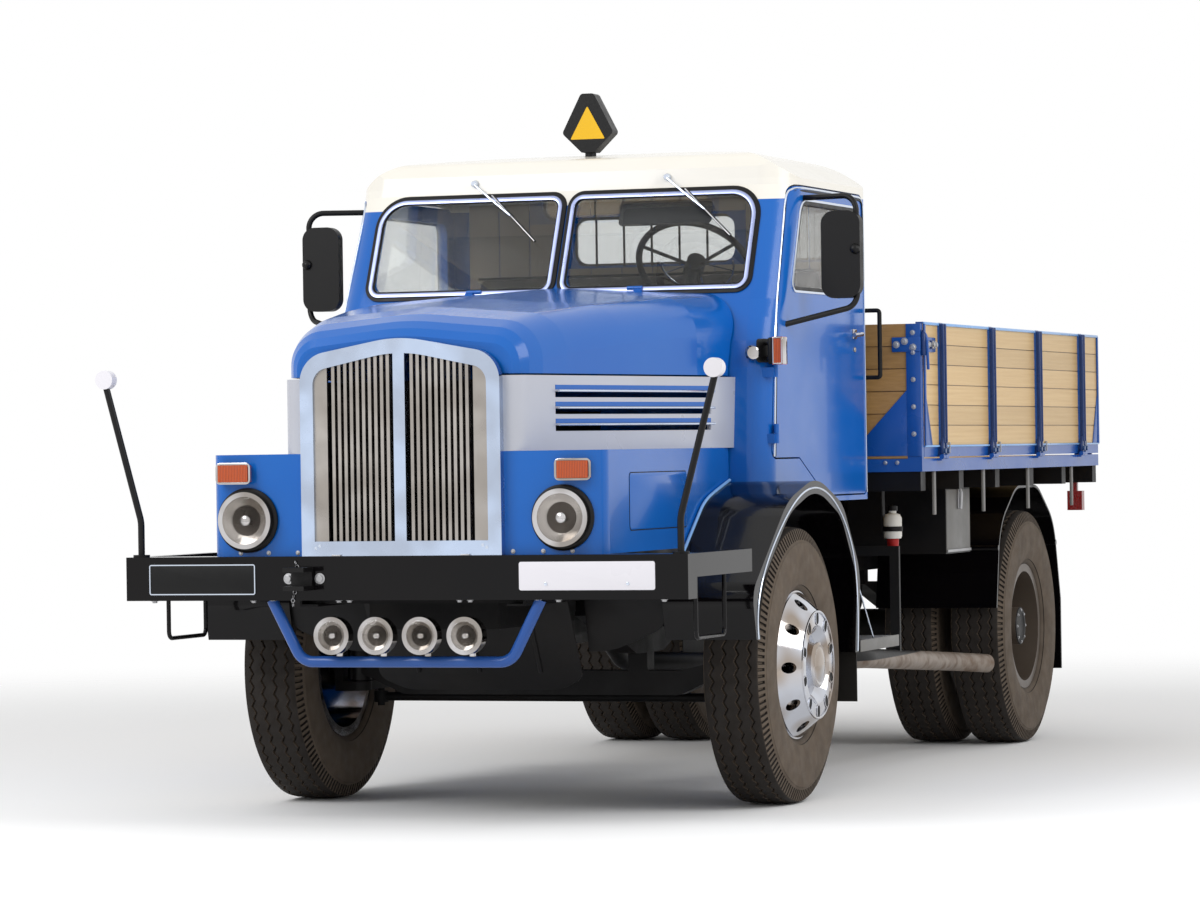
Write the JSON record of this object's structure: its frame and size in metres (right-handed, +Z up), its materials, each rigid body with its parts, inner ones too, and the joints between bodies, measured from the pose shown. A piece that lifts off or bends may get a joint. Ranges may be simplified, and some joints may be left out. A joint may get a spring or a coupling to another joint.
{
  "type": "bonneted flatbed truck",
  "caption": "Bonneted medium truck with a closed cab and an open wooden bed, whose sides and tail drop; steered front wheels and twin rear wheels.",
  "frame": {"origin": "on the ground, under the middle of the truck's length", "axes": "+Z up, the front faces -Y, +X is the truck's left side"},
  "size_m": [2.388, 6.04, 2.74],
  "materials": {
    "body_blue": "gloss paint",
    "roof_ivory": "gloss paint",
    "panel_silver": "satin silver paint",
    "gloss_black": "gloss paint",
    "chassis_black": "satin paint",
    "cast_black": "painted casting",
    "trim_black": "satin paint",
    "equipment_black": "satin paint",
    "grille_polish": "polished",
    "lamp_chrome": "polished",
    "wheel_chrome": "polished",
    "rim_silver": "satin silver paint",
    "tyre_rubber": "matt",
    "flap_rubber": "matt",
    "cab_glazing": "clear",
    "lens_clear": "moulded",
    "lens_orange": "moulded",
    "lens_red": "moulded",
    "marker_white": "gloss",
    "sign_black": "satin",
    "bar_blue": "gloss paint",
    "bed_wood": "painted boards",
    "headboard_brown": "painted boards",
    "bed_navy": "gloss paint",
    "exhaust_steel": "dull",
    "seat_fabric": "woven",
    "dash_black": "grained"
  },
  "bodies": {
    "truck": {"bed_floor": "bed_wood", "bed_headboard": "headboard_brown", "bed_rails": "bed_navy", "bed_subframe": "chassis_black", "cab_fittings": "trim_black", "cab_glass": "cab_glazing", "cab_roof": "roof_ivory", "cab_seats": "seat_fabric", "cab_shell": "body_blue", "chassis_frame": "chassis_black", "dashboard": "dash_black", "exhaust_pipe": "exhaust_steel", "front_axle": "chassis_black", "front_bumper": "gloss_black", "front_fenders": "gloss_black", "grille_frame": "grille_polish", "grille_slats": "grille_polish", "lamp_bar": "bar_blue", "lamp_housings": "lamp_chrome", "lamp_lenses": "lens_clear", "leaf_springs": "chassis_black", "marker_rods": "trim_black", "marker_tips": "marker_white", "mud_flaps": "flap_rubber", "nose_panels": "body_blue", "power_unit": "cast_black", "rear_axle": "cast_black", "rear_fenders": "gloss_black", "roof_sign": "sign_black", "side_equipment": "equipment_black", "side_panels": "panel_silver", "signal_lenses": "lens_orange", "steering_wheel": "dash_black", "tail_lamps": "lens_red", "tow_couplings": "trim_black"},
    "knuckle_left": {"knuckle_left": "cast_black"},
    "knuckle_right": {"knuckle_right": "cast_black"},
    "tie_rod": {"tie_rod": "cast_black"},
    "front_wheel_left": {"front_tyre_left": "tyre_rubber", "front_rim_left": "wheel_chrome"},
    "front_wheel_right": {"front_tyre_right": "tyre_rubber", "front_rim_right": "wheel_chrome"},
    "rear_wheels_left": {"rear_tyres_left": "tyre_rubber", "rear_rims_left": "rim_silver"},
    "rear_wheels_right": {"rear_tyres_right": "tyre_rubber", "rear_rims_right": "rim_silver"},
    "door_left": {"door_left": "body_blue", "door_glass_left": "cab_glazing", "mirror_left": "trim_black"},
    "door_right": {"door_right": "body_blue", "door_glass_right": "cab_glazing", "mirror_right": "trim_black"},
    "hood": {"hood": "body_blue"},
    "side_left": {"side_boards_left": "bed_wood", "side_irons_left": "bed_navy"},
    "side_right": {"side_boards_right": "bed_wood", "side_irons_right": "bed_navy"},
    "tailgate": {"tail_boards": "bed_wood", "tail_irons": "bed_navy"}
  },
  "joints": [
    {"name": "steer_left", "type": "hinge", "parent": "truck", "child": "knuckle_left", "pos_m": [0.76, -1.5, 0.519], "axis": [0, 0, 1], "range_deg": [-32, 32]},
    {"name": "steer_right", "type": "hinge", "parent": "truck", "child": "knuckle_right", "pos_m": [-0.76, -1.5, 0.519], "axis": [0, 0, 1], "range_deg": [-32, 32]},
    {"name": "tie_rod_swivel", "type": "hinge", "parent": "knuckle_left", "child": "tie_rod", "pos_m": [0.76, -1.285, 0.382], "axis": [0, 0, 1], "range_deg": [-32, 32]},
    {"name": "front_wheel_left_spin", "type": "hinge", "parent": "knuckle_left", "child": "front_wheel_left", "pos_m": [0.917, -1.5, 0.519], "axis": [1, 0, 0], "continuous": true},
    {"name": "front_wheel_right_spin", "type": "hinge", "parent": "knuckle_right", "child": "front_wheel_right", "pos_m": [-0.917, -1.5, 0.519], "axis": [1, 0, 0], "continuous": true},
    {"name": "rear_wheels_left_spin", "type": "hinge", "parent": "truck", "child": "rear_wheels_left", "pos_m": [0.735, 2.05, 0.519], "axis": [1, 0, 0], "continuous": true},
    {"name": "rear_wheels_right_spin", "type": "hinge", "parent": "truck", "child": "rear_wheels_right", "pos_m": [-0.735, 2.05, 0.519], "axis": [1, 0, 0], "continuous": true},
    {"name": "door_left_swing", "type": "hinge", "parent": "truck", "child": "door_left", "pos_m": [0.917, -1.408, 1.5], "axis": [0, 0, -1], "range_deg": [0, 65]},
    {"name": "door_right_swing", "type": "hinge", "parent": "truck", "child": "door_right", "pos_m": [-0.917, -1.408, 1.5], "axis": [0, 0, 1], "range_deg": [0, 65]},
    {"name": "hood_lift", "type": "hinge", "parent": "truck", "child": "hood", "pos_m": [0, -1.325, 1.953], "axis": [-1, 0, 0], "range_deg": [0, 55]},
    {"name": "side_left_drop", "type": "hinge", "parent": "truck", "child": "side_left", "pos_m": [1.125, 1.47, 1.286], "axis": [0, 1, 0], "range_deg": [0, 180]},
    {"name": "side_right_drop", "type": "hinge", "parent": "truck", "child": "side_right", "pos_m": [-1.125, 1.47, 1.286], "axis": [0, -1, 0], "range_deg": [0, 180]},
    {"name": "tailgate_drop", "type": "hinge", "parent": "truck", "child": "tailgate", "pos_m": [0, 3.01, 1.286], "axis": [-1, 0, 0], "range_deg": [0, 180]}
  ],
  "couplings": [
    {"joint": "steer_right", "follows": "steer_left", "ratio": 1},
    {"joint": "tie_rod_swivel", "follows": "steer_left", "ratio": -1}
  ]
}
